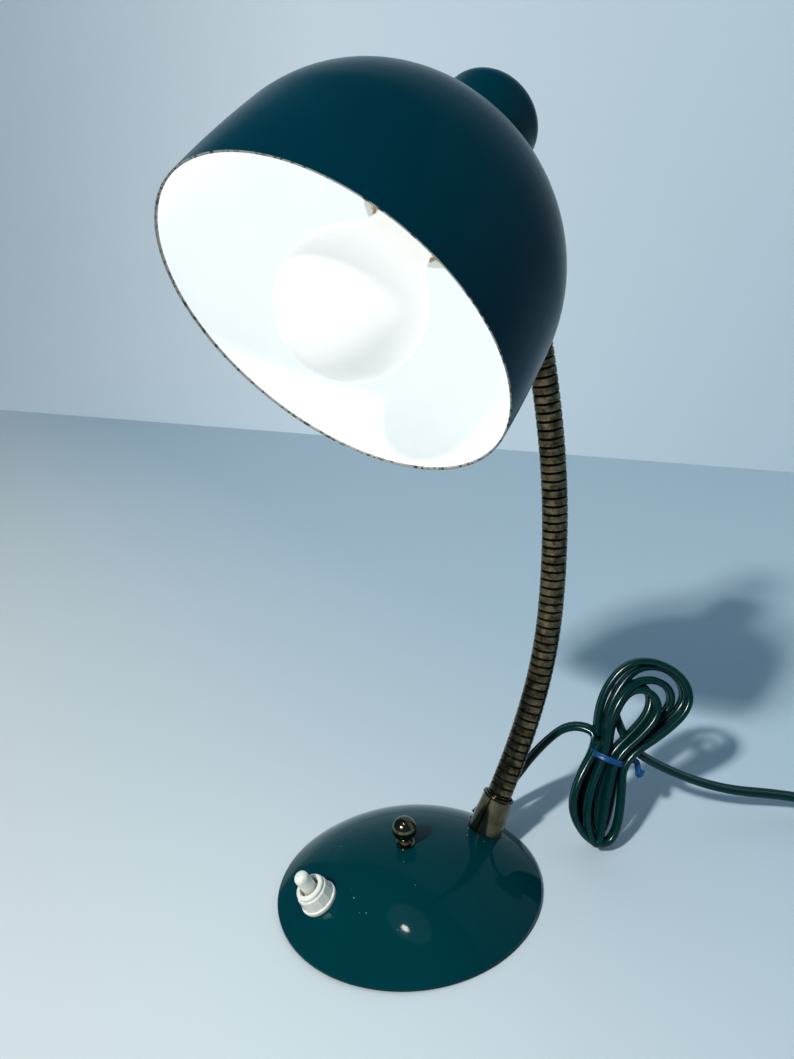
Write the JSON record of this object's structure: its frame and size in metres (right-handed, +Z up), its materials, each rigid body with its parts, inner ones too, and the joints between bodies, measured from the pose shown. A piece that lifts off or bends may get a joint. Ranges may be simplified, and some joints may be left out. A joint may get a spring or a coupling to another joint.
{
  "type": "gooseneck desk lamp",
  "caption": "Round weighted base with a push switch, a flexible gooseneck and a deep bowl shade aimed down at the desk; its flex is tied in a hank behind.",
  "frame": {"origin": "middle of the felt's underside, where the base rests on the table", "axes": "+Z up; +Y from the middle of the base to the foot of the gooseneck; -Y towards the switch; the shade opens down and towards +X -Y"},
  "size_m": [0.2298, 0.3502, 0.3669],
  "materials": {
    "green_enamel": "glossy",
    "felt": "matte",
    "zinc_steel": "satin",
    "cast_iron": "matte",
    "brass": "polished",
    "white_plastic": "glossy",
    "switch_steel": "satin",
    "brown_phenolic": "satin",
    "aged_brass": "aged satin",
    "flex_sheath": "matte",
    "white_enamel_metal": "glossy",
    "porcelain": "glossy",
    "bulb_glass": "frosted",
    "filament": "matte",
    "bulb_cap_metal": "satin",
    "green_cord": "glossy",
    "blue_tie": "satin"
  },
  "bodies": {
    "base": {"ball_nut": "brass", "base_felt": "felt", "base_plate": "zinc_steel", "base_shell": "green_enamel", "base_weight": "cast_iron", "base_wire_far": "flex_sheath", "base_wire_near": "flex_sheath", "cord_grommet": "green_cord", "cord_hank": "green_cord", "cord_lead": "green_cord", "cord_tail": "green_cord", "cord_tie": "blue_tie", "foot_flex": "flex_sheath", "neck_ferrule": "brass", "neck_flex_1": "flex_sheath", "neck_link_1": "aged_brass", "neck_nipple": "brass", "neck_nut": "zinc_steel", "neck_washer": "zinc_steel", "plug_body": "green_cord", "plug_pins": "brass", "switch_body": "brown_phenolic", "switch_bush": "switch_steel", "switch_ring_nut": "white_plastic", "switch_spring": "switch_steel", "tie_stud": "zinc_steel"},
    "neck_b": {"neck_link_2": "aged_brass", "neck_flex_2": "flex_sheath"},
    "neck_c": {"neck_link_3": "aged_brass", "neck_flex_3": "flex_sheath"},
    "neck_d": {"neck_link_4": "aged_brass", "neck_flex_4": "flex_sheath"},
    "neck_e": {"neck_link_5": "aged_brass", "neck_flex_5": "flex_sheath"},
    "neck_f": {"neck_link_6": "aged_brass", "neck_flex_6": "flex_sheath"},
    "head": {"neck_link_7": "aged_brass", "neck_flex_7": "flex_sheath", "head_ferrule": "brass", "head_nipple": "brass", "head_nut": "zinc_steel", "head_flex": "flex_sheath", "socket_cover": "green_enamel", "shade": "green_enamel", "shade_ring": "zinc_steel", "holder_skirt": "white_enamel_metal", "lampholder_body": "porcelain", "thread_shell": "brass", "centre_contact": "brass", "bulb_glass": "bulb_glass", "bulb_neck": "bulb_glass", "bulb_stem": "bulb_glass", "bulb_filament": "filament", "bulb_cap": "bulb_cap_metal"},
    "button": {"switch_plunger": "white_plastic"}
  },
  "joints": [
    {"name": "neck_low_bend", "type": "hinge", "parent": "base", "child": "neck_b", "pos_m": [0.00168, 0.07868, 0.08156], "axis": [0.9997, 0, -0.025], "range_deg": [-10, 10]},
    {"name": "neck_low_bend_2", "type": "hinge", "parent": "neck_b", "child": "neck_c", "pos_m": [0.00277, 0.08935, 0.12518], "axis": [0.9997, 0, -0.025], "range_deg": [-10, 10]},
    {"name": "neck_side_bend", "type": "hinge", "parent": "neck_c", "child": "neck_d", "pos_m": [0.0039, 0.09269, 0.17003], "axis": [-0.0004, 0.9998, -0.0174], "range_deg": [-10, 10]},
    {"name": "neck_side_bend_2", "type": "hinge", "parent": "neck_d", "child": "neck_e", "pos_m": [0.00502, 0.09073, 0.21496], "axis": [0.0026, 0.9945, 0.1045], "range_deg": [-10, 10]},
    {"name": "neck_top_bend", "type": "hinge", "parent": "neck_e", "child": "neck_f", "pos_m": [0.00613, 0.08408, 0.25945], "axis": [0.9997, 0, -0.025], "range_deg": [-10, 10]},
    {"name": "neck_top_bend_2", "type": "hinge", "parent": "neck_f", "child": "head", "pos_m": [0.00721, 0.07206, 0.30277], "axis": [0.9997, 0, -0.025], "range_deg": [-10, 10]},
    {"name": "switch_press", "type": "slide", "parent": "base", "child": "button", "axis": [0, 0.4483, -0.8939], "range_m": [0, 0.003], "stiffness_N_per_m": 300, "springref_m": -0.001, "deforming": ["switch_spring"]}
  ],
  "couplings": [
    {"joint": "neck_low_bend_2", "follows": "neck_low_bend", "ratio": 1},
    {"joint": "neck_side_bend_2", "follows": "neck_side_bend", "ratio": 1},
    {"joint": "neck_top_bend_2", "follows": "neck_top_bend", "ratio": 1}
  ]
}
